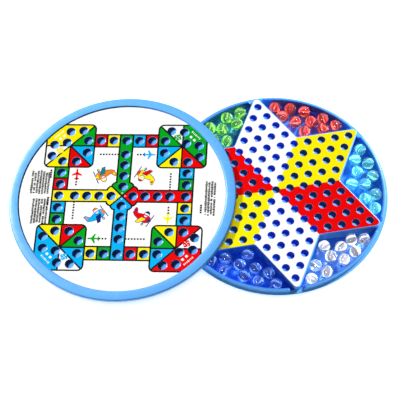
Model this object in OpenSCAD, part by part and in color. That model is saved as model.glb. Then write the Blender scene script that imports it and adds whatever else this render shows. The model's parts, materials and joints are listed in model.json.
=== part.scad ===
// Round two-in-one board game: a Chinese checkers tray with its marbles, and its lid,
// which carries a flying-chess track. The lid lies beside the tray, one edge on the table
// and the other on the star deck. Millimetres, +Z up, origin at the centre of the tray's base.

/* [Tray] */
// Radius of the flange round the tray
tray_r = 128.3; // [127.9:0.1:130]
// Height of the star deck above the table
deck_h = 17; // [16.8:0.1:20]
// Thickness of the tray's floor
floor_t = 2; // [1.6:0.1:2.4]
// Inner radius of the tray's wall
wall_ri = 121.9; // [121.5:0.1:122.3]
// Outer radius of the upright lip
lip_ro = 125.4; // [124.6:0.1:125.5]
// Height of the lip above the table
lip_h = 14.5; // [13:0.1:15.5]
// Height of the flange above the table
flange_h = 10.5; // [9.5:0.1:11.5]

/* [Star deck] */
// Distance between neighbouring holes
pitch = 16.2; // [16.1:0.05:16.3]
// Distance from the star's centre to each of its edge lines
star_edge = 64.5; // [64:0.1:65]
// Rounding of the star's tips
tip_round = 5.2; // [4.5:0.1:5.5]
// Rounding of the star's inner corners
notch_round = 4; // [3:0.5:5]
// Diameter of a marble hole in the deck
hole_d = 9.2; // [8.6:0.1:9.6]
// Depth of a marble hole below the printed sheet
hole_depth = 3.8; // [2.6:0.1:3.9]

/* [Lid] */
// Radius of the lid's rim
lid_r = 130.4; // [129.6:0.1:130.8]
// Height of the lid from the foot of its skirt to the top of its rim
lid_h = 9.8; // [9.6:0.1:10.4]
// Inner radius of the raised rim
rim_ri = 119.8; // [119.4:0.1:120.2]
// Length unit of the track, a fifth of the way from the centre to the outer holes
track_unit = 14.6; // [14.5:0.05:14.65]
// Diameter of a hole in the lid
peg_d = 11; // [10:0.5:11.5]

/* [Lid at rest] */
// Place of the lid's centre, from side to side
lid_x = -174.3; // [-175:0.1:-174]
// Place of the lid's centre, from front to back
lid_y = 21.2; // [20.5:0.1:22]
// Turn of the track relative to the rows of the star
lid_yaw = -12.6; // [-14:0.1:-11]
// Slope of the lid, which leans on the deck
lid_tilt = 4.2; // [4.2:0.05:4.6]
// Direction in which the lid climbs
climb = -11.4; // [-12:0.1:-11]

/* [Marbles] */
// Diameter of a marble
marble_d = 14; // [13.8:0.1:14]

/* [Hidden] */
$fn = 96;
TIPS = [30, 90, 150, 210, 270, 330];
CORNERS = [0, 60, 120, 180, 240, 300];
plastic = [0.40, 0.745, 0.99];
paper = [0.97, 0.97, 0.96];

// Tray and deck details
foot_r = 122.5;          // radius of the tray's foot
wall_fillet = 1.6;       // rounding where the tray's wall meets its floor
wall_step = 0.4;         // how far the wall's outside lies in from the lip's
flange_t = 1.9;          // thickness of the flange where it leaves the wall
lip_gap = 7.3;           // half width of the gap in the lip at each star tip
deck_t = 1.5;            // thickness of the deck's top
deck_wall = 1.6;         // thickness of the deck's skirt
cup_wall = 1;            // thickness of a cup's wall and floor
sheet_t = 0.3;           // thickness of the star sheet
sheet_inset = 1.1;       // bare border of deck round the star sheet
play = 0.1;              // gap between parts that only stand together
over = 1;                // how far a cutting shape runs past the solid

// Lid details
skirt_ri = 125.7;        // inner radius of the lid's skirt
skirt_ro = 126.7;        // outer radius of the lid's skirt
lid_flange_h = 5.2;      // height of the underside of the lid's rim
lid_plate_h = 7;         // height of the underside of the lid's plate
lid_sheet_h = 8.4;       // height of the seat for the lid's sheet
lid_sheet_t = 0.4;       // thickness of the lid's sheet
lid_edge = 0.5;          // rounding of the lid's small edges
peg_floor_h = 6.2;       // height of the floor in a lid hole
peg_floor_t = 0.7;       // thickness of the floor in a lid hole

// Marbles rest on the floor of their pocket. Each pair is a marble's place on that floor.
red_at = [[21, 112.5], [38.5, 108], [54, 101], [27, 99.5], [40.5, 89.5],
          [59, 86.5], [73.5, 88], [86, 76], [49, 74.5], [71, 74]];
cyan_at = [[107.5, 39.5], [99, 27], [113, 20], [98, 11], [114.5, 3],
           [88.5, -3.5], [103.5, -6], [112.5, -21], [99, -25], [108, -38.5]];
clear_at = [[40.5, -76], [59, -80], [72.5, -73], [86.8, -74.8], [45.5, -89.5],
            [59, -95.5], [73.5, -88], [26.5, -97.5], [37, -107], [18.5, -113]];
blue_at = [[-87.5, -72], [-71.5, -72], [-46.5, -72], [-76.7, -85], [-57.5, -82.5],
           [-55, -97], [-41, -90], [-41.5, -106], [-27.5, -98.5], [-22, -112.5]];
green_at = [[-21, 112.5], [-38, 108.2], [-27.5, 98.5], [-59.5, 98], [-46, 93.5],
            [-43.5, 77.5], [-58.5, 82], [-73, 86], [-84, 76], [-70, 72]];
yellow_at = [for (p = cyan_at) -p];

COUNT = 10;
function numbered(colour) = [for (i = [1 : COUNT]) str(colour, "_marble_", i < 10 ? "0" : "", i)];
RED = numbered("red");
CYAN = numbered("cyan");
CLEAR = numbered("clear");
BLUE = numbered("blue");
GREEN = numbered("green");

// Points along an arc about c, from angle a to angle b
function arc(c, r, a, b, steps = 6) =
    [for (i = [0 : steps]) c + r * [cos(a + (b - a) * i / steps), sin(a + (b - a) * i / steps)]];

// Outline of the six-pointed star, drawn in by inset all round
function star_tip(dir, inset) =
    arc((2 * star_edge - 2 * tip_round) * [cos(dir), sin(dir)], tip_round - inset, dir - 60, dir + 60);
function star_corner(dir, inset) =
    arc((star_edge + notch_round) / cos(30) * [cos(dir), sin(dir)], notch_round + inset,
        dir + 210, dir + 150, 4);
function star_points(inset) =
    [for (k = [0 : 5]) each concat(star_corner(CORNERS[k], inset), star_tip(TIPS[k], inset))];

// Lattice points inside the star: rows of holes a pitch apart
row_gap = pitch * sqrt(3) / 2;
function in_triangle(p, turn) =
    max([for (k = [0 : 2]) p * [cos(turn + 120 * k), sin(turn + 120 * k)]]) < star_edge - hole_d / 2;
HOLES = [for (row = [-8 : 8]) for (i = [-12 : 12])
    let (p = [(i + (row % 2 == 0 ? 0 : 0.5)) * pitch, row * row_gap])
    if (in_triangle(p, 30) || in_triangle(p, 90)) p];

// Holes of a quarter of the flying-chess track, in track units
side_at = [0, 1.035, 2.07, 3.095];
arm_at = [0.855, 1.81, 2.78, 3.75];
yard_at = [[5.81, 4.58], [5.905, 3.56], [4.795, 4.795], [4.59, 5.80], [3.57, 5.905]];
QUARTER = concat([for (s = side_at) [s, 5]], [for (s = side_at) if (s > 0) [-s, 5]],
                 [for (s = arm_at) [0, s]], [[3.1, 3.9], [3.9, 3.1]], yard_at);
PEGS = [for (turn = [0 : 90 : 270]) for (q = QUARTER)
    track_unit * [q.x * cos(turn) - q.y * sin(turn), q.x * sin(turn) + q.y * cos(turn)]];

module star_prism(inset, from, to)
    translate([0, 0, from]) linear_extrude(to - from) polygon(star_points(inset));

module drill(places, d, from, to)
    for (p = places) translate([p.x, p.y, from]) cylinder(d = d, h = to - from, $fn = 32);

// Tray: floor, tapered wall, flange and an upright lip with a gap at each star tip
module base_tray() {
    soft = 0.8;
    color(plastic) difference() {
        rotate_extrude($fn = 180) polygon(concat(
            [[0, 0], [foot_r - 2 * soft, 0], [foot_r, 2 * soft], [lip_ro - wall_step, flange_h - flange_t]],
            arc([tray_r - soft, flange_h - soft], soft, -60, 90),
            [[lip_ro, flange_h]],
            arc([lip_ro - soft, lip_h - soft], soft, 0, 90),
            arc([wall_ri + soft, lip_h - soft], soft, 90, 180),
            arc([wall_ri - wall_fillet, floor_t + wall_fillet], wall_fillet, 0, -90),
            [[0, floor_t]]));
        for (a = TIPS) rotate([0, 0, a]) translate([wall_ri - over, -lip_gap, flange_h])
            cube([lip_ro - wall_ri + 2 * over, 2 * lip_gap, deck_h]);
    }
}

// Star deck: a raised moulding with a cup under each hole, open below
module star_deck() {
    top = deck_h - sheet_t;
    skirt_r = wall_ri - wall_fillet - play;
    color(plastic) difference() {
        union() {
            star_prism(0, flange_h + play, top);
            intersection() {
                star_prism(0, floor_t, top);
                translate([0, 0, floor_t]) cylinder(r = skirt_r, h = top - floor_t, $fn = 180);
            }
        }
        difference() {
            intersection() {
                star_prism(deck_wall, floor_t - over, top - deck_t);
                translate([0, 0, floor_t - over])
                    cylinder(r = skirt_r - deck_wall, h = deck_h, $fn = 180);
            }
            drill(HOLES, hole_d + 2 * cup_wall, deck_h - hole_depth - cup_wall, deck_h);
        }
        drill(HOLES, hole_d, deck_h - hole_depth, deck_h + over);
    }
}

// Printed sheet on the deck, with a hole over each cup
module star_sheet() {
    color(paper) difference() {
        star_prism(sheet_inset, deck_h - sheet_t, deck_h);
        drill(HOLES, hole_d + play, deck_h - sheet_t - over, deck_h + over);
    }
}

// Puts a part of the lid, drawn standing on its skirt, where the lid lies
module lid_place()
    translate([lid_x, lid_y, skirt_ro * sin(lid_tilt)])
        rotate([0, 0, climb]) rotate([0, -lid_tilt, 0]) rotate([0, 0, lid_yaw - climb]) children();

// Lid: skirt, rim, and a plate with a cup under each hole
module lid_shell() {
    soft = 1.4;
    color(plastic) lid_place() difference() {
        union() {
            rotate_extrude($fn = 180) polygon(concat(
                [[0, lid_plate_h], [skirt_ri, lid_plate_h], [skirt_ri, 0], [skirt_ro, 0],
                 [skirt_ro, lid_flange_h], [lid_r - lid_edge, lid_flange_h], [lid_r, lid_flange_h + lid_edge]],
                arc([lid_r - soft, lid_h - soft], soft, 0, 90),
                arc([rim_ri + lid_edge, lid_h - lid_edge], lid_edge, 90, 180, 3),
                [[rim_ri, lid_sheet_h], [0, lid_sheet_h]]));
            drill(PEGS, peg_d + 2 * cup_wall, peg_floor_h - peg_floor_t, (lid_plate_h + lid_sheet_h) / 2);
        }
        drill(PEGS, peg_d, peg_floor_h, lid_h);
    }
}

// Printed sheet on the lid, with a hole over each cup
module lid_sheet() {
    color(paper) lid_place() difference() {
        translate([0, 0, lid_sheet_h]) cylinder(r = rim_ri - 2 * play, h = lid_sheet_t, $fn = 180);
        drill(PEGS, peg_d + play, lid_sheet_h - over, lid_h + over);
    }
}

// One glass marble on the floor of its pocket
module marble(p, tint)
    color(tint) translate([p.x, p.y, floor_t + marble_d / 2]) sphere(d = marble_d, $fn = 48);

// The marbles of one colour, each a node of its own
module marbles(names, places, tint)
    for (i = [0 : COUNT - 1]) marble(places[i], tint);

module yellow_marbles() for (p = yellow_at) marble(p, [0.98, 0.82, 0.10]);

base_tray();
star_deck();
star_sheet();
lid_shell();
lid_sheet();
yellow_marbles();
marbles(RED, red_at, [0.90, 0.16, 0.16]);
marbles(CYAN, cyan_at, [0.15, 0.80, 0.90]);
marbles(CLEAR, clear_at, [0.90, 0.92, 0.95]);
marbles(BLUE, blue_at, [0.12, 0.18, 0.75]);
marbles(GREEN, green_at, [0.20, 0.75, 0.20]);
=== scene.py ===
"""Looks of the round marble-game box: tray, star deck, leaning lid and sixty glass marbles.

Metres, +Z up, origin under the tray's centre. Outlines are worked out in millimetres and scaled
by MM.
"""
import json
import math
import random
from itertools import product

import bpy
import numpy as np
from mathutils import Euler, Matrix, Vector
from mathutils.geometry import delaunay_2d_cdt


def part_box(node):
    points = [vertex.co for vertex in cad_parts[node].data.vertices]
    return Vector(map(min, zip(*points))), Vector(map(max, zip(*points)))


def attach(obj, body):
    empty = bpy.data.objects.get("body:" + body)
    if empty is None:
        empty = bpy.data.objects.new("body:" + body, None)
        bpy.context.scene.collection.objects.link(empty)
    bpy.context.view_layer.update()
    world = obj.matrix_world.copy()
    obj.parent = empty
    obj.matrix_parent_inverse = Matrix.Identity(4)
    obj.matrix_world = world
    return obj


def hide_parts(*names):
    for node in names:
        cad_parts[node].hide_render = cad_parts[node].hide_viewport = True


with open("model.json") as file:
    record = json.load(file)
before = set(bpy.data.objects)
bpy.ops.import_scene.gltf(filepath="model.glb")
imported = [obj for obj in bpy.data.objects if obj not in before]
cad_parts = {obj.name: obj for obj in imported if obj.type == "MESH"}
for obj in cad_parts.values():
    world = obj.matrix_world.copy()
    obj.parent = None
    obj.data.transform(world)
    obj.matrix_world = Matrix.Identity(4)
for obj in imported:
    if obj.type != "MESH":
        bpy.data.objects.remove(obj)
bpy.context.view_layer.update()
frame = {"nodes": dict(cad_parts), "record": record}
MM = 0.001
TAU = 2 * math.pi
CUP_STEPS = 36          # sides of every hole and cup

# ---------------------------------------------------------------- sizes as in the CAD, millimetres
PITCH = 16.2
MARBLE_R = 7.0
STAR_EDGE = 64.5
TIP_ROUND, NOTCH_ROUND = 5.2, 4.0
DECK_H, SHEET_T, SHEET_INSET = 17.0, 0.3, 1.1
HOLE_R, HOLE_DEPTH = 4.6, 3.8
FLOOR_T, FOOT_R = 2.0, 122.5
WALL_RI, LIP_RO, LIP_H = 121.9, 125.4, 14.5
TRAY_R, FLANGE_H = 128.3, 10.5
LIP_GAP = 7.3

LID_R, LID_H, RIM_RI = 130.4, 9.8, 119.8
SKIRT_RI, SKIRT_RO = 125.7, 126.7
LID_FLANGE_H, LID_PLATE_H, LID_SEAT_H, LID_SHEET_T = 5.2, 7.0, 8.4, 0.4
UNIT = 14.6
PEG_R, PEG_FLOOR_H = 5.5, 6.2
CUP_WALL = 1.0
PEG_FLOOR_T = 0.7
FILM_GAP = 1.2
DECK_FOOT_INSET = 1.7
LID_X, LID_Y, LID_YAW, LID_TILT, CLIMB = -174.3, 21.2, -12.6, 4.2, -11.4

TIPS = [30, 90, 150, 210, 270, 330]
CORNERS = [0, 60, 120, 180, 240, 300]


def srgb(r, g, b):
    """A display colour, 0 to 255, as linear light."""
    def lin(v):
        v /= 255
        return v / 12.92 if v <= 0.04045 else ((v + 0.055) / 1.055) ** 2.4
    return (lin(r), lin(g), lin(b), 1.0)


INK = {
    "white": srgb(252, 252, 250),
    "black": srgb(16, 16, 18),
    "yellow": srgb(255, 236, 0),
    "red": srgb(234, 0, 0),
    "green": srgb(0, 166, 28),
    "cyan": srgb(0, 178, 245),
    "navy": srgb(22, 40, 120),
    "orange": srgb(244, 130, 20),
    "teal": srgb(0, 140, 130),
}


# ---------------------------------------------------------------- flat shapes, millimetres
def polar(r, deg, c=(0, 0)):
    a = math.radians(deg)
    return (c[0] + r * math.cos(a), c[1] + r * math.sin(a))


def arc(c, r, a, b, steps):
    return [polar(r, a + (b - a) * i / steps, c) for i in range(steps + 1)]


def circle(c, r, steps=24):
    return [polar(r, 360 * i / steps, c) for i in range(steps)]


def star_points(inset, tip_steps=14, notch_steps=8):
    """Outline of the rounded six-pointed star, drawn in by inset."""
    points = []
    for notch, tip in zip(CORNERS, TIPS):
        points += arc(polar((STAR_EDGE + NOTCH_ROUND) / math.cos(math.pi / 6), notch),
                      NOTCH_ROUND + inset, notch + 210, notch + 150, notch_steps)
        points += arc(polar(2 * STAR_EDGE - 2 * TIP_ROUND, tip),
                      TIP_ROUND - inset, tip - 60, tip + 60, tip_steps)
    return points


def star_holes():
    """The 121 lattice points that lie inside either of the star's two triangles."""
    holes = []
    for row in range(-8, 9):
        for i in range(-12, 13):
            x = (i + (row % 2) / 2) * PITCH
            y = row * PITCH * math.sqrt(3) / 2
            for turn in (30, 90):
                sides = [math.radians(turn + k) for k in (0, 120, 240)]
                if max(x * math.cos(a) + y * math.sin(a) for a in sides) < STAR_EDGE - HOLE_R:
                    holes.append((x, y))
                    break
    return holes


def turned(p, k):
    """p after k quarter turns to the left."""
    for _ in range(k % 4):
        p = (-p[1], p[0])
    return p


def track_holes():
    """The 72 holes of the flying-chess track, in track units."""
    side = [(s, 5) for s in (0, 1.035, -1.035, 2.07, -2.07, 3.095, -3.095)]
    lane = [(0, s) for s in (0.855, 1.81, 2.78, 3.75)]
    bend = [(3.1, 3.9), (3.9, 3.1)]
    yard = [(5.81, 4.58), (5.905, 3.56), (4.795, 4.795), (4.59, 5.80), (3.57, 5.905)]
    return [turned(p, k) for k in range(4) for p in side + lane + bend + yard]


# ---------------------------------------------------------------- printing
def bar(p, q, width):
    """A straight stroke from p to q with square ends."""
    d = Vector((q[0] - p[0], q[1] - p[1])).normalized() * width / 2
    n = (-d.y, d.x)
    return [(p[0] - d.x + n[0], p[1] - d.y + n[1]), (p[0] - d.x - n[0], p[1] - d.y - n[1]),
            (q[0] + d.x - n[0], q[1] + d.y - n[1]), (q[0] + d.x + n[0], q[1] + d.y + n[1])]


def box_loop(x0, y0, x1, y1):
    return [(x0, y0), (x1, y0), (x1, y1), (x0, y1)]


def offset_loop(points, by):
    """A closed loop moved sideways by by, with mitred corners."""
    out = []
    n = len(points)
    for i in range(n):
        a, b, c = Vector(points[i - 1]), Vector(points[i]), Vector(points[(i + 1) % n])
        u, v = (b - a).normalized(), (c - b).normalized()
        n1, n2 = Vector((u.y, -u.x)), Vector((v.y, -v.x))
        m = n1 + n2
        out.append(tuple(b + m * by / max(0.4, m.dot(n1))))
    return out


def ring(points, width):
    """The outline of a closed loop as a stroke: two loops, filled between."""
    return [offset_loop(points, width / 2), offset_loop(points, -width / 2)]


def rounded_square(c, half, r, steps=6):
    k = half - r
    points = []
    for a, (sx, sy) in zip((0, 90, 180, 270), ((1, 1), (-1, 1), (-1, -1), (1, -1))):
        points += arc((c[0] + sx * k, c[1] + sy * k), r, a, a + 90, steps)
    return points


class Print:
    """A list of inked shapes. Later shapes cover earlier ones."""

    def __init__(self, scale=1.0):
        self.scale = scale
        self.shapes = []

    def add(self, ink, *loops):
        k = self.scale
        self.shapes.append((ink, [[(x * k, y * k) for x, y in loop] for loop in loops]))

    def ink_at(self, points):
        """The ink colour at each of an array of points."""
        names = sorted(INK)
        ink = np.full(len(points), names.index("white"))
        for name, loops in self.shapes:
            inside = np.zeros(len(points), bool)
            for loop in loops:
                inside ^= in_loop(points, loop)
            ink[inside] = names.index(name)
        return [INK[names[i]] for i in ink]


def star_print():
    """Six rhombi: white at the far and near tips, yellow and red on either side."""
    art = Print()
    corner_r = STAR_EDGE / math.cos(math.pi / 6)
    for tip, ink in zip(TIPS, ("yellow", "white", "red", "yellow", "white", "red")):
        if ink != "white":
            left, right = polar(corner_r, tip + 30), polar(corner_r, tip - 30)
            art.add(ink, [(0, 0), right, polar(2 * STAR_EDGE, tip), left])
    return art


ARM_INKS = ("green", "red", "cyan", "yellow")      # clockwise from the far arm
LINE = 0.13                                       # outline width, in track units


def clockwise(points, k):
    return [turned(p, -k) for p in points]


def track_side(art, k):
    """The five cells of one side of the track, its lane to the hub, and their outlines."""
    lane = ARM_INKS[k]
    cells = [ARM_INKS[(k + j) % 4] for j in (1, 3, 0, 2, 1)]
    edges = (-2.56, -1.55, -0.52, 0.52, 1.55, 2.56)
    low, high = 4.41, 5.54
    for ink, x0, x1 in zip(cells, edges, edges[1:]):
        if ink != lane:
            art.add(ink, clockwise([(x0, low), (x1, low), (x1, high), (x0, high)], k))
    arm = [(0, 0), (0.87, 0.87), (0.8, 1.02), (0.68, 1.14), (0.52, 1.21), (0.52, high),
           (-0.52, high), (-0.52, 1.21), (-0.68, 1.14), (-0.8, 1.02), (-0.87, 0.87)]
    art.add(lane, clockwise(arm, k))
    for a, b in zip(arm, arm[1:] + arm[:1]):
        art.add("black", bar(*clockwise([a, b], k), LINE))
    for y in (low, high):
        for x0, x1 in ((-2.56, -0.52), (0.52, 2.56)):
            art.add("black", bar(*clockwise([(x0, y), (x1, y)], k), LINE))
    for x in (-1.55, 1.55):
        art.add("black", bar(*clockwise([(x, low), (x, high)], k), LINE))


def block_edge(c, half, r, deg):
    """Where a direction that is a multiple of 45 degrees leaves a rounded square."""
    return polar(half if deg % 90 == 0 else (half - r) * math.sqrt(2) + r, deg, c)


def block_sector(c, half, r, a, b):
    """The part of a rounded square between the directions a and b."""
    near = 0.01

    def past(p):
        return (math.degrees(math.atan2(p[1] - c[1], p[0] - c[0])) - a) % 360
    inner = [p for p in rounded_square(c, half, r) if near < past(p) < b - a - near]
    return [c, block_edge(c, half, r, a), *sorted(inner, key=past), block_edge(c, half, r, b)]


def track_yard(art, k):
    """A corner block: four track cells, a white start cell and the big yard."""
    mid, half, r = (4.5, 4.5), 1.945, 0.42
    inks = [ARM_INKS[(k + i) % 4] for i in range(4)]
    cells = [(inks[1], 270, 315), (inks[3], 225, 270), (inks[2], 180, 225),
             (inks[0], 135, 180), ("white", 90, 135), (inks[0], -45, 90)]
    for ink, a, b in cells:
        art.add(ink, clockwise(block_sector(mid, half, r, a, b), k))
    for deg in range(90, 316, 45):
        art.add("black", bar(*clockwise([mid, block_edge(mid, half - 0.03, r, deg)], k), LINE))
    art.add("black", *[clockwise(loop, k) for loop in ring(rounded_square(mid, half, r), LINE)])
    yard_marks(art, k)


def yard_marks(art, k):
    """A die in the start cell, and two white tokens and a row of ticks in the yard."""
    ink = ARM_INKS[k]
    at, pip = (4.07, 5.3), 0.12
    die = [turn_about(p, at, 18) for p in rounded_square(at, 0.26, 0.06, 2)]
    art.add(ink, clockwise(die, k))
    for dx, dy in ((-pip, -pip), (0, 0), (pip, pip), (-pip, pip), (pip, -pip)):
        art.add("white", clockwise(circle((at[0] + dx, at[1] + dy), 0.045, 8), k))
    for along in (-0.2, 0.2):
        m = (5.27 + along * math.sqrt(0.5), 5.22 - along * math.sqrt(0.5))
        token = [turn_about(p, m, -45) for p in rounded_square(m, 0.1, 0.02, 1)]
        art.add("white", clockwise(token, k))
    for i in range(7):
        m = (5.5 + (i - 3) * 0.1, 5.5 - (i - 3) * 0.1)
        up = (m[0] + 0.055, m[1] + 0.055)
        art.add("white", clockwise(bar(m, up, 0.055 if i % 3 else 0.08), k))


def turn_about(p, c, deg):
    a = math.radians(deg)
    x, y = p[0] - c[0], p[1] - c[1]
    return (c[0] + x * math.cos(a) - y * math.sin(a), c[1] + x * math.sin(a) + y * math.cos(a))


JET = [(0.36, 0), (0.28, 0.045), (0.1, 0.055), (-0.06, 0.3), (-0.14, 0.3), (-0.07, 0.055),
       (-0.24, 0.045), (-0.31, 0.14), (-0.37, 0.14), (-0.33, 0)]


def flight_line(art, k, ink):
    """A jet at the end of one dashed run, and the longer run opposite, k turns to the left."""
    outline = JET + [(x, -y) for x, y in reversed(JET[1:-1])]
    art.add(ink, [turned((1.95 + 1.35 * x, 3.73 + 1.35 * y), k) for x, y in outline])
    dashes = [0.98 + 0.235 * i for i in range(3)] + [-0.58 - 0.235 * i for i in range(7)]
    for x in dashes:
        art.add("black", [turned(p, k) for p in box_loop(x - 0.075, 3.66, x + 0.075, 3.8)])


def toy_plane(art, at, deg, body, wing, trim):
    """A generic propeller aeroplane seen from the side."""
    def put(ink, points):
        art.add(ink, [turn_about((at[0] + x * 1.1, at[1] + y * 1.4), at, deg) for x, y in points])
    fuselage = [(0.55, 0.04), (0.5, 0.2), (0.3, 0.26), (0.02, 0.24), (-0.5, 0.12), (-0.72, 0.36),
                (-0.84, 0.36), (-0.8, 0.04), (-0.62, -0.06), (-0.1, -0.2), (0.3, -0.2), (0.5, -0.1)]
    put("navy", offset_loop(fuselage, 0.035))
    put(body, fuselage)
    put("navy", circle((0.12, 0.3), 0.22, 16))
    put("white", circle((0.12, 0.3), 0.18, 16))
    put(trim, arc((0.12, 0.3), 0.18, 20, 160, 8))
    put(body, [(-0.1, 0.2), (0.36, 0.2), (0.36, 0.28), (-0.1, 0.28)])
    put("navy", [(0.22, 0.05), (0.3, -0.02), (-0.08, -0.42), (-0.34, -0.4), (-0.12, 0.02)])
    put(wing, [(0.19, 0.03), (0.25, -0.02), (-0.1, -0.38), (-0.28, -0.37), (-0.09, 0.0)])
    put(trim, [(0.42, 0.2), (0.5, 0.18), (0.54, 0.04), (0.49, -0.09), (0.41, -0.12)])
    put(trim, [(-0.62, 0.2), (-0.7, 0.3), (-0.8, 0.3), (-0.76, 0.12)])
    put("navy", bar((0.6, -0.34), (0.6, 0.42), 0.07))
    put(trim, circle((0.59, 0.04), 0.07, 12))
    put("navy", circle((0.24, -0.34), 0.09, 14))
    put("white", circle((0.24, -0.34), 0.035, 8))
    put("navy", bar((0.24, -0.2), (0.24, -0.28), 0.05))


def small_print(art, columns, y0, y1, seed):
    """Columns of small blocks where a leaflet's rules would stand. They spell nothing."""
    rng = random.Random(seed)
    for x in columns:
        y = y1 - rng.random() * 0.25
        while y > y0:
            length = rng.uniform(0.06, 0.13)
            left, right = rng.uniform(0.06, 0.1), rng.uniform(0.06, 0.1)
            art.add("black", box_loop(x - left, y - length, x + right, y))
            y -= length + rng.uniform(0.012, 0.03)
            if rng.random() < 0.04:
                y -= 0.12


def lid_print():
    """The flying-chess track with its jets, toy planes and blocks of small print."""
    art = Print(UNIT)
    for k in range(4):
        track_side(art, k)
    for k in range(4):
        track_yard(art, k)
    for k, ink in enumerate(("cyan", "red", "green", "yellow")):
        flight_line(art, k, ink)
    toy_plane(art, (-1.62, 1.95), 205, "orange", "teal", "yellow")
    toy_plane(art, (1.72, 1.9), 152, "yellow", "red", "red")
    toy_plane(art, (-1.78, -1.76), 38, "cyan", "navy", "orange")
    toy_plane(art, (1.75, -1.9), 330, "red", "yellow", "navy")
    for k in range(4):
        for p in ((0, 0.3), (-0.05, 0.24), (0.05, 0.24)):
            art.add("white", clockwise(circle(p, 0.03, 6), k))
    small_print(art, [-7.25 + 0.22 * i for i in range(7)], 0.2, 2.25, 3)
    small_print(art, [-6.95 + 0.22 * i for i in range(6)], -2.4, -0.15, 5)
    small_print(art, [6.6 + 0.22 * i for i in range(4)], -1.55, 1.45, 7)
    for x, y0 in ((6.25, -1.45), (-5.82, 1.55), (-5.82, -0.9)):
        for i in range(4):
            art.add("black", box_loop(x - 0.08, y0 + 0.2 * i, x + 0.08, y0 + 0.2 * i + 0.16))
    return art


# ---------------------------------------------------------------- meshes
def new_object(name, verts, faces, place=None):
    mesh = bpy.data.meshes.new(name)
    mesh.from_pydata([tuple(v) for v in verts], [], faces)
    if place is not None:
        mesh.transform(place)
    mesh.validate(clean_customdata=False)
    mesh.update()
    obj = bpy.data.objects.new(name, mesh)
    bpy.context.scene.collection.objects.link(obj)
    return obj


def smooth(obj, deg=32):
    """Smooth shading, with edges sharper than deg kept crisp."""
    for poly in obj.data.polygons:
        poly.use_smooth = True
    obj.data.set_sharp_from_angle(angle=math.radians(deg))


def planar_cells(outline, holes, extra=()):
    """Triangles inside outline and outside the holes, cut along the extra loops' edges."""
    points, edges = [], []
    for loop in [outline, *holes, *extra]:
        first = len(points)
        points += [Vector(p) for p in loop]
        edges += [(first + i, first + (i + 1) % len(loop)) for i in range(len(loop))]
    verts, _, tris, _, _, _ = delaunay_2d_cdt(points, edges, [], 0, 1e-5, True)
    xy = np.array([tuple(v) for v in verts])
    tris = np.array(tris)
    mid = xy[tris].mean(axis=1)
    keep = in_loop(mid, outline)
    for hole in holes:
        x, y = np.array(hole).T
        near = (abs(mid[:, 0] - x.mean()) < np.ptp(x)) & (abs(mid[:, 1] - y.mean()) < np.ptp(y))
        spot = np.flatnonzero(near & keep)
        keep[spot[in_loop(mid[spot], hole)]] = False
    return xy, tris[keep], mid[keep]


def in_loop(points, loop):
    """For an array of points, which of them lie inside a closed loop."""
    px, py = points[:, 0], points[:, 1]
    inside = np.zeros(len(points), bool)
    for (ax, ay), (bx, by) in zip(loop, loop[1:] + loop[:1]):
        if ay != by:
            inside ^= ((ay > py) != (by > py)) & (px < (bx - ax) * (py - ay) / (by - ay) + ax)
    return inside


def cross(a, b, c):
    """Twice the area of the flat triangle a, b, c: positive if it runs to the left."""
    return (b[0] - a[0]) * (c[1] - a[1]) - (b[1] - a[1]) * (c[0] - a[0])


class Shell:
    """Collects vertices and faces, merging vertices that meet."""
    NEAR = 0.00002

    def __init__(self):
        self.verts, self.faces, self.index = [], [], {}

    def vert(self, x, y, z):
        key = (round(x, 4), round(y, 4), round(z, 4))
        if key not in self.index:
            keys = product(*[{round(v - self.NEAR, 4), round(v + self.NEAR, 4)} for v in (x, y, z)])
            self.index.update((k, len(self.verts)) for k in keys if k not in self.index)
            self.verts.append((x, y, z))
        return self.index[key]

    def face(self, *corners):
        ids = [self.vert(*c) for c in corners]
        if len(set(ids)) == len(ids):
            self.faces.append(ids)
        elif len(set(ids)) > 2:
            self.faces.append(list(dict.fromkeys(ids)))

    def flat(self, xy, tris, z, up=True):
        for a, b, c in tris:
            if cross(xy[a], xy[b], xy[c]) < 0:
                b, c = c, b
            if not up:
                b, c = c, b
            self.face((*xy[a], z), (*xy[b], z), (*xy[c], z))

    def loft(self, rings):
        """Joins closed rings of equal length. Going down, rings that run to the left face out."""
        for upper, lower in zip(rings, rings[1:]):
            n = len(upper)
            for i in range(n):
                j = (i + 1) % n
                self.face(upper[i], lower[i], lower[j], upper[j])

    def cap(self, points, up=True):
        c = np.mean(points, axis=0)
        n = len(points)
        for i in range(n):
            a, b = points[i], points[(i + 1) % n]
            self.face(tuple(c), *((a, b) if up else (b, a)))

    def build(self, name, place=None):
        scaled = [(x * MM, y * MM, z * MM) for x, y, z in self.verts]
        return new_object(name, scaled, self.faces, place)


def at_height(loop, z):
    return [(x, y, z) for x, y in loop]


def cup_rings(c, r, top, floor, lip=0.3, fillet=0.9):
    """A blind round hole from the top surface down: soft edge, wall and filleted floor."""
    profile = [(r + lip * (1 - math.sin(a)), top - lip * (1 - math.cos(a)))
               for a in (0, math.pi / 6, math.pi / 3, math.pi / 2)]
    profile += [(r - fillet * (1 - math.cos(a)), floor + fillet * (1 - math.sin(a)))
                for a in (0, math.pi / 6, math.pi / 3, math.pi / 2)]
    return [at_height(circle(c, rr, CUP_STEPS), z) for rr, z in profile]


def plate_with_cups(shell, rim, rim_z, holes, r, floor, lip=0.3):
    """The top surface inside rim, pierced by cups."""
    mouths = [circle(c, r + lip, CUP_STEPS) for c in holes]
    xy, tris, _ = planar_cells(rim, mouths)
    shell.flat(xy, tris, rim_z)
    for c in holes:
        rings = cup_rings(c, r, rim_z, floor, lip)
        shell.loft([list(reversed(q)) for q in rings])
        shell.cap(rings[-1])


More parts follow.
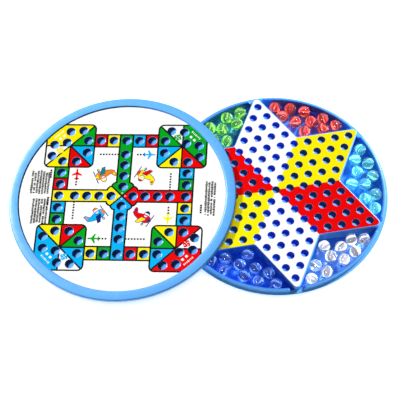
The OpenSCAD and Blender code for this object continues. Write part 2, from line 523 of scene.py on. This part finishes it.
def lid_matrix():
    """Places a lid piece, drawn standing on its skirt, where the lid leans."""
    climb = math.radians(CLIMB)
    tilt = math.radians(LID_TILT)
    yaw = math.radians(LID_YAW)
    return (Matrix.Translation((LID_X * MM, LID_Y * MM, SKIRT_RO * MM * math.sin(tilt)))
            @ Matrix.Rotation(climb, 4, "Z") @ Matrix.Rotation(-tilt, 4, "Y")
            @ Matrix.Rotation(yaw - climb, 4, "Z"))


LID_AT = lid_matrix()


def lathe_angles():
    """Angles round the tray, close together at the ends of the lip."""
    angles = set(round(i * 0.75, 4) for i in range(480))
    gap = math.degrees(LIP_GAP / WALL_RI)
    for tip in TIPS:
        for d in np.linspace(-1.3, 0.5, 10):
            for side in (-1, 1):
                angles.add(round((tip + side * (gap + d)) % 360, 4))
    return sorted(angles)


def soft_step(t):
    t = min(1.0, max(0.0, t))
    return t * t * (3 - 2 * t)


def make_tray():
    """The tub and, round it, the rim with its flange and lip. They meet along the lip's top."""
    seam, skin, air = (WALL_RI + LIP_RO) / 2, 0.9, 0.02
    inside, floor_curve, foot_curve, outside = 0.9, 2.2, 2.4, 1.1
    seam_top = LIP_H - 0.03
    tub = [(0, 0), (FOOT_R - skin - 2, 0), (FOOT_R - skin, 2), (WALL_RI + skin, FLANGE_H - 1),
           (seam - air, FLANGE_H), (seam - air, seam_top)]
    tub += arc((WALL_RI + inside, LIP_H - inside), inside, 88, 180, 6)
    tub += [(WALL_RI, FLANGE_H - 1.5)]
    tub += arc((WALL_RI - floor_curve, FLOOR_T + floor_curve), floor_curve, 0, -90, 7)
    tub += [(WALL_RI - 8, FLOOR_T), (0, FLOOR_T)]
    rim = [(seam, FLANGE_H - 0.4), (WALL_RI + 1, FLANGE_H - 1), (FOOT_R - skin + 0.1, 2),
           (FOOT_R - skin - 1.9, 0.05), (FOOT_R - foot_curve, 0.05)]
    rim += arc((FOOT_R - foot_curve, foot_curve), foot_curve, -88, -14, 6)
    rim += [(LIP_RO - 1.2, FLANGE_H - 3.2)]
    rim += arc((LIP_RO + 0.4, FLANGE_H - 3.0), 1.4, 180, 100, 5)[1:]
    rim += arc((TRAY_R - 0.75, FLANGE_H - 0.8), 0.75, -80, 88, 9)
    rim += arc((LIP_RO + 0.5, FLANGE_H + 0.5), 0.5, 270, 180, 4)
    rim += arc((LIP_RO - outside, LIP_H - outside), outside, 0, 86, 6)
    rim += [(seam, seam_top)]
    gap = math.degrees(LIP_GAP / WALL_RI)
    angles = lathe_angles()

    def lowered(z, angle):
        away = min(abs((angle - tip + 180) % 360 - 180) for tip in TIPS)
        keep = soft_step((away - gap) / 0.9 + 0.15)
        return z if z <= FLANGE_H else FLANGE_H + (z - FLANGE_H) * keep

    def lathed(profile):
        return [[(*polar(r, a), lowered(z, a)) for a in angles] for r, z in profile]
    tub_shell, rim_shell = Shell(), Shell()
    rings = lathed(tub)
    tub_shell.loft(rings[1:-1][::-1])
    tub_shell.cap(rings[1], up=False)
    tub_shell.cap(rings[-2], up=True)
    rings = lathed(rim)
    rim_shell.loft((rings + rings[:1])[::-1])
    return tub_shell.build("tray_tub"), rim_shell.build("tray_rim")


def clip_radius(loop, r):
    """A loop with every point that lies beyond radius r drawn in to it."""
    out = []
    for x, y in loop:
        d = math.hypot(x, y)
        k = min(1.0, r / d)
        out.append((x * k, y * k))
    return out


def make_deck(holes):
    """The raised star with its cups, standing on the tray's floor."""
    top, soft, over_wall = DECK_H - SHEET_T, 0.7, FLANGE_H + 0.1
    shell = Shell()
    edge = [(soft * (1 - math.sin(a)), top - soft * (1 - math.cos(a)))
            for a in (0, math.pi / 8, math.pi / 4, 3 * math.pi / 8, math.pi / 2)]
    rings = [at_height(star_points(inset), z) for inset, z in edge]
    rings.append(at_height(star_points(0), over_wall))
    foot = clip_radius(star_points(0), WALL_RI - DECK_FOOT_INSET)
    rings.append(at_height(foot, over_wall))
    rings.append(at_height(foot, FLOOR_T))
    shell.loft(rings)
    plate_with_cups(shell, star_points(soft), top, holes, HOLE_R, DECK_H - HOLE_DEPTH)
    xy, tris, _ = planar_cells(foot, [])
    shell.flat(xy, tris, FLOOR_T, up=False)
    return shell.build("star_moulding")


def make_liners(name, holes, r, top, floor, place=None):
    """Painted shade: thin darker cups that line the holes, so their insides read darker."""
    wall, air, corner, lip = 0.15, 0.03, 0.95, 0.1
    shell = Shell()
    for c in holes:
        inner = cup_rings(c, r - wall, top, floor + wall, lip)
        outer = [at_height(circle(c, r - inset, CUP_STEPS), z) for inset, z in
                 ((corner, floor + air), (air, floor + corner), (air, top - lip))]
        shell.loft([list(reversed(q)) for q in inner])
        shell.cap(inner[-1])
        shell.loft([list(reversed(q)) for q in outer + inner[:1]])
        shell.cap(outer[0], up=False)
    return shell.build(name, place)


def over_white(hole):
    """True for a hole that opens in, or on the edge of, a white rhombus."""
    return 58 < math.degrees(math.atan2(hole[1], hole[0])) % 180 < 122


def make_lid(holes):
    """The lid moulding: rim, skirt, plate with cups above and their bosses below."""
    shell = Shell()
    n = 360
    inner, outer, edge, skirt, corner = 0.6, 1.5, 0.5, 0.3, 0.9
    profile = arc((RIM_RI + inner, LID_H - inner), inner, 180, 90, 4)
    profile += arc((LID_R - outer, LID_H - outer), outer, 90, 0, 8)
    profile += arc((LID_R - edge, LID_FLANGE_H + edge), edge, 0, -90, 3)
    profile += arc((SKIRT_RO + skirt, LID_FLANGE_H - skirt), skirt, 90, 180, 3)
    profile += arc((SKIRT_RO - skirt, skirt), skirt, 0, -90, 3)
    profile += arc((SKIRT_RI + skirt, skirt), skirt, 270, 180, 3)
    profile += arc((SKIRT_RI - corner, LID_PLATE_H - corner), corner, 0, 90, 4)
    rings = [at_height(circle((0, 0), r, n), z) for r, z in [(RIM_RI, LID_SEAT_H)] + profile]
    shell.loft(rings)
    plate_with_cups(shell, circle((0, 0), RIM_RI, n), LID_SEAT_H, holes, PEG_R, PEG_FLOOR_H, 0.2)
    boss_r, boss_low = PEG_R + CUP_WALL, PEG_FLOOR_H - PEG_FLOOR_T
    roots = [circle(c, boss_r, CUP_STEPS) for c in holes]
    xy, tris, _ = planar_cells(circle((0, 0), SKIRT_RI - corner, n), roots)
    shell.flat(xy, tris, LID_PLATE_H, up=False)
    boss = ((boss_r, LID_PLATE_H), (boss_r, boss_low + 0.3), (boss_r - 0.3, boss_low))
    for c in holes:
        rings = [at_height(circle(c, r, CUP_STEPS), z) for r, z in boss]
        shell.loft(rings)
        shell.cap(rings[-1], up=False)
    return shell.build("lid_moulding", LID_AT)


def make_shade_groove():
    """Painted shade at the lid rim's foot: a thin sloping deep blue ring between film and rim."""
    low, high, thin = LID_SEAT_H + 0.02, LID_H - 0.35, 0.06
    inner, outer = RIM_RI - FILM_GAP + 0.05, RIM_RI + 0.05
    profile = [(outer, high), (RIM_RI, high), (inner, low + thin), (inner, low), (outer, low)]
    shell = Shell()
    shell.loft([at_height(circle((0, 0), r, 240), z) for r, z in profile + profile[:1]][::-1])
    return shell.build("lid_shade_groove", LID_AT)


def make_film(name, outline, holes, hole_r, z, thick, art, place=None):
    """A printed film: one closed sheet whose faces carry their ink as a colour attribute."""
    mouths = [circle(c, hole_r, CUP_STEPS) for c in holes]
    loops = [loop for _, shape in art.shapes for loop in shape]
    xy, tris, mid = planar_cells(outline, mouths, loops)
    inks = art.ink_at(mid)
    shell = Shell()
    colours = []
    for up, height in ((True, z), (False, z - thick)):
        for tri, ink in zip(tris, inks):
            before = len(shell.faces)
            shell.flat(xy, [tri], height, up)
            colours += [ink if up else INK["white"]] * (len(shell.faces) - before)
    border = {}
    for tri in tris:
        for a, b in zip(tri, np.roll(tri, -1)):
            border[(min(a, b), max(a, b))] = border.get((min(a, b), max(a, b)), 0) + 1
    for tri in tris:
        a, b, c = tri
        cycle = (a, b, c) if cross(xy[a], xy[b], xy[c]) > 0 else (a, c, b)
        for p, q in zip(cycle, cycle[1:] + cycle[:1]):
            if border[(min(p, q), max(p, q))] == 1:
                shell.face((*xy[p], z), (*xy[p], z - thick), (*xy[q], z - thick), (*xy[q], z))
                colours.append(INK["white"])
    obj = shell.build(name, place)
    layer = obj.data.color_attributes.new("ink", "FLOAT_COLOR", "CORNER")
    flat = np.ones((len(obj.data.loops), 4), np.float32)
    for poly, colour in zip(obj.data.polygons, colours):
        flat[poly.loop_start:poly.loop_start + poly.loop_total] = colour
    layer.data.foreach_set("color", flat.ravel())
    return obj


# ---------------------------------------------------------------- materials
def new_material(name):
    mat = bpy.data.materials.new(name)
    mat.use_nodes = True
    nodes, links = mat.node_tree.nodes, mat.node_tree.links
    return mat, nodes, links, nodes["Principled BSDF"]


def noise(nodes, links, scale, detail=2.0, rough=0.5):
    coords = nodes.new("ShaderNodeTexCoord")
    tex = nodes.new("ShaderNodeTexNoise")
    tex.inputs["Scale"].default_value = scale
    tex.inputs["Detail"].default_value = detail
    tex.inputs["Roughness"].default_value = rough
    links.new(coords.outputs["Object"], tex.inputs["Vector"])
    return tex.outputs["Fac"]


def ramp(nodes, links, fac, low, high):
    """fac, 0 to 1, mapped to the range low to high."""
    node = nodes.new("ShaderNodeMapRange")
    node.inputs["To Min"].default_value = low
    node.inputs["To Max"].default_value = high
    links.new(fac, node.inputs["Value"])
    return node.outputs["Result"]


def bump(nodes, links, bsdf, height, strength, distance):
    node = nodes.new("ShaderNodeBump")
    node.inputs["Strength"].default_value = strength
    node.inputs["Distance"].default_value = distance
    links.new(height, node.inputs["Height"])
    links.new(node.outputs["Normal"], bsdf.inputs["Normal"])


def tinted(nodes, links, fac, a, b):
    mix = nodes.new("ShaderNodeMix")
    mix.data_type = "RGBA"
    links.new(fac, mix.inputs[0])
    mix.inputs[6].default_value = a
    mix.inputs[7].default_value = b
    return mix.outputs[2]


def moulded_plastic(name, low, high):
    """Blue moulded plastic: faint flow mottling, fine orange peel and a soft gloss."""
    mat, nodes, links, bsdf = new_material(name)
    flow = noise(nodes, links, 18, 3)
    links.new(tinted(nodes, links, flow, low, high), bsdf.inputs["Base Color"])
    links.new(ramp(nodes, links, noise(nodes, links, 140, 4), 0.2, 0.32), bsdf.inputs["Roughness"])
    bsdf.inputs["IOR"].default_value = 1.5
    bump(nodes, links, bsdf, noise(nodes, links, 900, 2), 0.12, 0.0002)
    return mat


def printed_film(name):
    """White plastic film with screen-printed inks under a clear gloss."""
    mat, nodes, links, bsdf = new_material(name)
    ink = nodes.new("ShaderNodeAttribute")
    ink.attribute_name = "ink"
    shade = nodes.new("ShaderNodeMix")
    shade.data_type = "RGBA"
    shade.blend_type = "MULTIPLY"
    shade.inputs[0].default_value = 1.0
    links.new(ink.outputs["Color"], shade.inputs[6])
    speckle = noise(nodes, links, 260, 3)
    mottling = tinted(nodes, links, speckle, (0.95, 0.95, 0.95, 1), (1, 1, 1, 1))
    links.new(mottling, shade.inputs[7])
    links.new(shade.outputs[2], bsdf.inputs["Base Color"])
    links.new(ramp(nodes, links, noise(nodes, links, 60, 3), 0.26, 0.38), bsdf.inputs["Roughness"])
    bsdf.inputs["Specular IOR Level"].default_value = 0.15
    bump(nodes, links, bsdf, noise(nodes, links, 500, 2), 0.06, 0.0001)
    return mat


def marble_glass(name, tint, clarity):
    """Tinted glass that lets lamp light through to the vane inside it and to the floor under it."""
    mat, nodes, links, bsdf = new_material(name)
    bsdf.inputs["Base Color"].default_value = tint
    bsdf.inputs["Transmission Weight"].default_value = clarity
    bsdf.inputs["IOR"].default_value = 1.5
    links.new(ramp(nodes, links, noise(nodes, links, 300, 2), 0.0, 0.03), bsdf.inputs["Roughness"])
    clear = nodes.new("ShaderNodeBsdfTransparent")
    clear.inputs["Color"].default_value = (*[0.5 * c ** 2 for c in tint[:3]], 1)
    path = nodes.new("ShaderNodeLightPath")
    mix = nodes.new("ShaderNodeMixShader")
    links.new(path.outputs["Is Shadow Ray"], mix.inputs[0])
    links.new(bsdf.outputs["BSDF"], mix.inputs[1])
    links.new(clear.outputs["BSDF"], mix.inputs[2])
    links.new(mix.outputs["Shader"], nodes["Material Output"].inputs["Surface"])
    return mat


def vane_material(name, core, edge):
    """The coloured vane in a marble: streaks from core to edge colour."""
    mat, nodes, links, bsdf = new_material(name)
    fade = nodes.new("ShaderNodeAttribute")
    fade.attribute_name = "fade"
    streak = noise(nodes, links, 700, 3)
    add = nodes.new("ShaderNodeMath")
    add.operation = "MULTIPLY_ADD"
    links.new(streak, add.inputs[0])
    add.inputs[1].default_value = 0.5
    links.new(fade.outputs["Fac"], add.inputs[2])
    step = nodes.new("ShaderNodeMapRange")
    step.interpolation_type = "SMOOTHSTEP"
    step.inputs["From Min"].default_value = 0.75
    step.inputs["From Max"].default_value = 1.05
    links.new(add.outputs[0], step.inputs["Value"])
    links.new(tinted(nodes, links, step.outputs["Result"], core, edge), bsdf.inputs["Base Color"])
    bsdf.inputs["Roughness"].default_value = 0.4
    return mat


def paint(obj, mat):
    obj.data.materials.clear()
    obj.data.materials.append(mat)


# ---------------------------------------------------------------- marbles
def vane_mesh(rng, blades):
    """Thin leaf-shaped blades that meet on the marble's axis, with a slight twist. 10 mm long."""
    verts, faces, fade = [], [], []
    rows, cols = 15, 6
    twist = rng.uniform(0.25, 0.7)
    for blade in range(blades):
        start = TAU * blade / blades + rng.uniform(-0.15, 0.15)
        bow = rng.uniform(0.2, 0.5)
        first = len(verts)
        for side in (1, -1):
            for i in range(rows):
                t = -1 + 2 * i / (rows - 1)
                leaf = max(0.0, 1 - t * t)
                for j in range(cols):
                    s = j / (cols - 1)
                    a = start + twist * t + bow * s * s
                    r = 4.4 * leaf ** 0.6 * s
                    thick = side * (0.04 + 0.5 * (1 - s) * math.sqrt(leaf))
                    verts.append((r * math.cos(a) - thick * math.sin(a),
                                  r * math.sin(a) + thick * math.cos(a), 5.0 * t))
                    fade.append(s)
            base = first if side > 0 else first + rows * cols
            for i in range(rows - 1):
                for j in range(cols - 1):
                    k = base + i * cols + j
                    quad = (k, k + 1, k + cols + 1, k + cols)
                    faces.append(quad if side < 0 else quad[::-1])
        other = first + rows * cols
        loop = ([i * cols + cols - 1 for i in range(rows)]
                + [(rows - 1) * cols + j for j in range(cols - 2, -1, -1)]
                + [i * cols for i in range(rows - 2, -1, -1)] + list(range(1, cols - 1)))
        for p, q in zip(loop, loop[1:] + loop[:1]):
            faces.append((first + p, first + q, other + q, other + p))
    return verts, faces, fade


def make_marble(name, centre, body, glass, vane, rng):
    """One glass marble and the vane in it, turned at random."""
    bpy.ops.mesh.primitive_uv_sphere_add(segments=64, ring_count=32, radius=MARBLE_R * MM,
                                         location=centre)
    ball = bpy.context.object
    ball.name = name
    lean = Euler((math.radians(rng.uniform(62, 112)), 0, rng.uniform(0, TAU))).to_matrix().to_4x4()
    here = Matrix.Translation(centre) @ lean @ Matrix.Rotation(rng.uniform(0, TAU), 4, "Z")
    ball.data.transform(here)
    ball.matrix_world = Matrix.Identity(4)
    smooth(ball, 180)
    paint(ball, glass)
    verts, faces, fade = vane_mesh(rng, rng.choice((2, 3, 3)))
    scaled = [(x * MM, y * MM, z * MM) for x, y, z in verts]
    core = new_object(name + "_vane", scaled, faces, here)
    layer = core.data.attributes.new("fade", "FLOAT", "POINT")
    layer.data.foreach_set("value", fade)
    smooth(core, 60)
    paint(core, vane)
    for piece in (ball, core):
        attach(piece, body)
    return ball, core


def centre_of(node):
    low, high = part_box(node)
    return (Vector(low) + Vector(high)) / 2


def node_parts(node):
    """Centres of the separate marbles in a node that holds several."""
    obj = frame["nodes"][node]
    points = [obj.matrix_world @ v.co for v in obj.data.vertices]
    top = max(p.z for p in points)
    peaks = dict.fromkeys((round(p.x, 4), round(p.y, 4)) for p in points if p.z > top - 0.01 * MM)
    return [Vector((x, y, top - MARBLE_R * MM)) for x, y in peaks]


# per colour: the tint of the glass, how clear it is, and the vane's core and edge
GLASS = {
    "red": ((1.0, 0.28, 0.26, 1), 0.9, srgb(150, 0, 0), srgb(255, 240, 240)),
    "cyan": ((0.42, 0.94, 1.0, 1), 0.86, srgb(0, 140, 165), srgb(235, 255, 255)),
    "clear": ((0.93, 0.95, 1.0, 1), 0.89, srgb(130, 130, 140), srgb(255, 255, 255)),
    "blue": ((0.28, 0.52, 1.0, 1), 0.92, srgb(12, 30, 120), srgb(190, 205, 245)),
    "green": ((0.58, 1.0, 0.48, 1), 0.87, srgb(0, 96, 0), srgb(200, 255, 140)),
    "yellow": ((1.0, 0.85, 0.3, 1), 0.88, srgb(240, 190, 0), srgb(255, 248, 180)),
}


def marble_bodies():
    owner = {}
    for body, nodes in frame["record"]["behaviour"]["bodies"].items():
        for node in nodes:
            owner[node] = body
    return owner


def make_marbles():
    owner = marble_bodies()
    pieces = []
    for colour, (tint, clarity, core, edge) in GLASS.items():
        glass = marble_glass(colour + " glass", tint, clarity)
        vane = vane_material(colour + " vane", core, edge)
        rng = random.Random("marbles " + colour)
        if colour == "yellow":
            places = [("yellow_marbles", c) for c in node_parts("yellow_marbles")]
        else:
            names = [f"{colour}_marble_{i:02d}" for i in range(1, 11)]
            places = [(n, centre_of(n)) for n in names]
        for i, (node, centre) in enumerate(places, 1):
            name = f"{colour}_ball_{i:02d}"
            pair = make_marble(name, centre, owner[node], glass, vane, rng)
            for piece in pair:
                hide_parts(node)
            pieces += pair
    return pieces


# ---------------------------------------------------------------- the object
def make_object():
    plastic = moulded_plastic("blue plastic", srgb(88, 166, 241), srgb(96, 174, 246))
    # Painted shade: the tub is the rim's blue plastic made darker, so the pockets read shaded.
    tub_shade_blue = moulded_plastic("blue tub plastic darkened as painted shade", srgb(66, 132, 220), srgb(74, 142, 230))
    # Painted shade: darker copies of the blue plastic, used to line holes and cups.
    royal = moulded_plastic("royal blue painted-shade cup plastic", srgb(64, 112, 224), srgb(72, 120, 234))
    navy = moulded_plastic("deep blue painted-shade cup plastic", srgb(60, 110, 166), srgb(68, 118, 174))
    star_film = printed_film("star film")
    lid_film = printed_film("lid film")
    holes = star_holes()
    pegs = [(x * UNIT, y * UNIT) for x, y in track_holes()]

    tray, tray_rim = make_tray()
    deck = make_deck(holes)
    cup_top, cup_floor = DECK_H - SHEET_T - 0.05, DECK_H - HOLE_DEPTH
    # Painted shade: holes in coloured print get deeper blue linings than holes in white.
    in_white = [c for c in holes if over_white(c)]
    in_colour = [c for c in holes if not over_white(c)]
    pale = make_liners("shade_cups_in_white", in_white, HOLE_R, cup_top, cup_floor)
    deep = make_liners("shade_cups_in_colour", in_colour, HOLE_R, cup_top, cup_floor)
    sheet = make_film("star_film", star_points(SHEET_INSET), holes, HOLE_R + 0.05, DECK_H, SHEET_T,
                      star_print())
    lid = make_lid(pegs)
    # Painted shade: deep blue linings in the lid's peg holes.
    lid_shade_cups = make_liners("lid_shade_cups", pegs, PEG_R, LID_SEAT_H - 0.05, PEG_FLOOR_H, LID_AT)
    # Painted shade: a deep blue ring darkens the line where the lid's rim meets its film.
    shade_groove = make_shade_groove()
    rim = circle((0, 0), RIM_RI - FILM_GAP, 240)
    panel = make_film("lid_film", rim, pegs, PEG_R + 0.05, LID_SEAT_H + LID_SHEET_T, LID_SHEET_T,
                      lid_print(), LID_AT)
    for piece, node, body, slot_name, mat in (
            # painted shade: the tub takes the darkened plastic
            (tray, "base_tray", "tray", "blue_plastic", tub_shade_blue),
            (tray_rim, "base_tray", "tray", "blue_plastic", plastic),
            (deck, "star_deck", "tray", "blue_plastic", plastic),
            # painted shade: the hole linings
            (pale, "star_deck", "tray", "blue_plastic", royal),
            (deep, "star_deck", "tray", "blue_plastic", navy),
            (sheet, "star_sheet", "tray", "star_print", star_film),
            (lid, "lid_shell", "lid", "blue_plastic", plastic),
            # painted shade: the lid's peg-hole linings
            (lid_shade_cups, "lid_shell", "lid", "blue_plastic", navy),
            # painted shade: the dark ring at the rim's foot
            (shade_groove, "lid_shell", "lid", "blue_plastic", navy),
            (panel, "lid_sheet", "lid", "lid_print", lid_film)):
        smooth(piece)
        paint(piece, mat)
        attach(piece, body)
        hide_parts(node)
    # The cups and lid cups groups hold the painted-shade linings and the lid's dark rim ring.
    return {"tub": [tray], "deck": [deck], "tray rim": [tray_rim], "cups": [pale, deep],
            "star film": [sheet], "lid": [lid], "lid cups": [lid_shade_cups, shade_groove],
            "lid film": [panel], "marbles": make_marbles()}


# ---------------------------------------------------------------- stage, light and camera
def make_stage():
    bpy.ops.mesh.primitive_plane_add(size=6, location=(0, 0, -0.0002))
    floor = bpy.context.object
    floor.name = "floor"
    mat, _, _, bsdf = new_material("floor paper")
    bsdf.inputs["Base Color"].default_value = (0.9, 0.9, 0.9, 1)
    bsdf.inputs["Roughness"].default_value = 0.8
    bsdf.inputs["Emission Color"].default_value = (1, 1, 1, 1)
    bsdf.inputs["Emission Strength"].default_value = 0.55
    paint(floor, mat)
    return floor


def link_light(lamp, receivers):
    """Makes a lamp light only these pieces. Everything still casts its shadow."""
    group = bpy.data.collections.new(lamp.name + " receivers")
    for piece in receivers:
        group.objects.link(piece)
    lamp.light_linking.receiver_collection = group


def area_light(name, azimuth, elevation, level, size, receivers, colour=(1, 1, 1), reach=2.4):
    """A disc lamp aimed at the middle of the set. Angles are in degrees, size is its diameter in
    metres, and level is what a white, level surface would show."""
    data = bpy.data.lights.new(name, "AREA")
    data.shape = "DISK"
    data.size = size
    rise = math.sin(math.radians(elevation))
    data.energy = level * (math.pi * reach) ** 2 / rise
    data.color = colour
    obj = bpy.data.objects.new(name, data)
    level_reach = reach * math.cos(math.radians(elevation))
    offset = Vector((*polar(level_reach, azimuth), reach * rise))
    obj.location = Vector((-0.087, 0.01, 0.015)) + offset
    obj.rotation_euler = offset.to_track_quat("Z", "Y").to_euler()
    bpy.context.scene.collection.objects.link(obj)
    link_light(obj, receivers)


def make_light(groups):
    """Studio lamps: the tray is lit from behind on the right, the lid from behind on the left."""
    world = bpy.data.worlds.new("studio")
    bpy.context.scene.world = world
    world.use_nodes = True
    sky = world.node_tree.nodes["Background"]
    sky.inputs["Color"].default_value = (0.9, 0.95, 1.0, 1)
    path = world.node_tree.nodes.new("ShaderNodeLightPath")
    near = world.node_tree.nodes.new("ShaderNodeMath")
    near.operation = "SUBTRACT"
    world.node_tree.links.new(path.outputs["Is Transmission Ray"], near.inputs[0])
    world.node_tree.links.new(path.outputs["Diffuse Depth"], near.inputs[1])
    level = world.node_tree.nodes.new("ShaderNodeMapRange")
    level.inputs["To Min"].default_value = 0.04
    level.inputs["To Max"].default_value = 0.9
    world.node_tree.links.new(near.outputs[0], level.inputs["Value"])
    world.node_tree.links.new(level.outputs["Result"], sky.inputs["Strength"])
    area_light("tub key", 36, 31, 0.98, 0.3, groups["tub"])
    area_light("deck key", 36, 31, 1.35, 0.3, groups["deck"])
    area_light("rim key", 36, 31, 0.95, 0.3, groups["tray rim"])
    area_light("marble key", 36, 46, 1.5, 0.3, groups["marbles"])
    area_light("cup key", 36, 35, 2.0, 0.3, groups["cups"])
    area_light("lid key", 128, 42, 1.1, 0.3, groups["lid"])
    area_light("lid cup key", 136, 21, 1.9, 0.3, groups["lid cups"])
    area_light("lid film key", 250, 78, 1.14, 1.2, groups["lid film"])
    area_light("star key", 250, 78, 0.58, 1.2, groups["star film"])
    area_light("star fill", 146, 52, 0.58, 0.3, groups["star film"])
    area_light("tub shade", 250, 80, 0.15, 1.6, groups["tub"] + groups["deck"], (0.0, 0.03, 1.0))
    area_light("rim fill", 250, 50, 0.2, 1.4, groups["tray rim"])
    area_light("marble soft box", 235, 50, 0.45, 0.9, groups["marbles"])
    sun = bpy.data.lights.new("floor wash", "SUN")
    sun.energy = math.pi
    sun.angle = math.radians(70)
    wash = bpy.data.objects.new("floor wash", sun)
    bpy.context.scene.collection.objects.link(wash)
    link_light(wash, groups["floor"])


def make_camera():
    """The photograph's view: nearly overhead, turned a little to the left of straight on."""
    data = bpy.data.cameras.new("camera")
    data.sensor_width = 36
    data.lens = 124.06
    data.clip_end = 20
    cam = bpy.data.objects.new("camera", data)
    turn, tip, roll = math.radians(-9.0447), math.radians(27.739), math.radians(-0.624)
    place = [v * MM for v in (-12.52 * PITCH, -44.46 * PITCH, 85.81 * PITCH + DECK_H)]
    cam.matrix_world = (Matrix.Translation(place) @ Matrix.Rotation(turn, 4, "Z")
                        @ Matrix.Rotation(tip, 4, "X") @ Matrix.Rotation(roll, 4, "Z"))
    bpy.context.scene.collection.objects.link(cam)
    bpy.context.scene.camera = cam


make_camera()
lit = make_object()
lit["floor"] = [make_stage()]
make_light(lit)
bpy.context.scene.view_settings.view_transform = "Standard"
